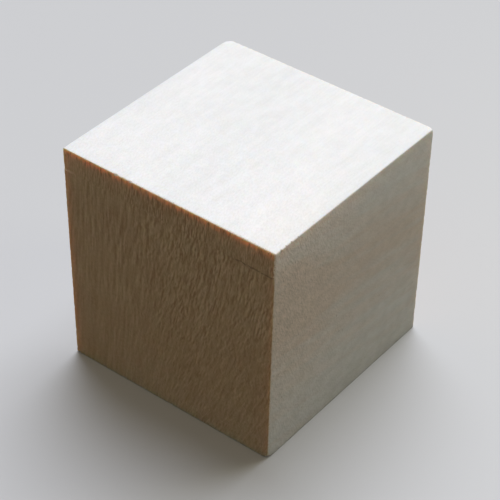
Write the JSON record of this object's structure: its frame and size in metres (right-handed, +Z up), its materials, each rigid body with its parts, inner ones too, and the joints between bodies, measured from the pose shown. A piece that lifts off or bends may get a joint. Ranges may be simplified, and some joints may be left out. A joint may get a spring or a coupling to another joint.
{
  "type": "wooden cube",
  "caption": "Plain cube of pale, unfinished wood with lightly sanded edges and saw-marked end grain, for use as a block, spacer, stand or craft blank.",
  "frame": {"origin": "on the underside, below the centre of the top", "axes": "+Z up; X along the grain, with the sawn end that carries the second saw pass at -X; Y across the grain"},
  "size_m": [0.04, 0.04, 0.04],
  "materials": {
    "bare_wood": "bare, sanded long grain and sawn end grain, matt"
  },
  "bodies": {
    "root": {"wooden_cube": "bare_wood"}
  },
  "joints": []
}
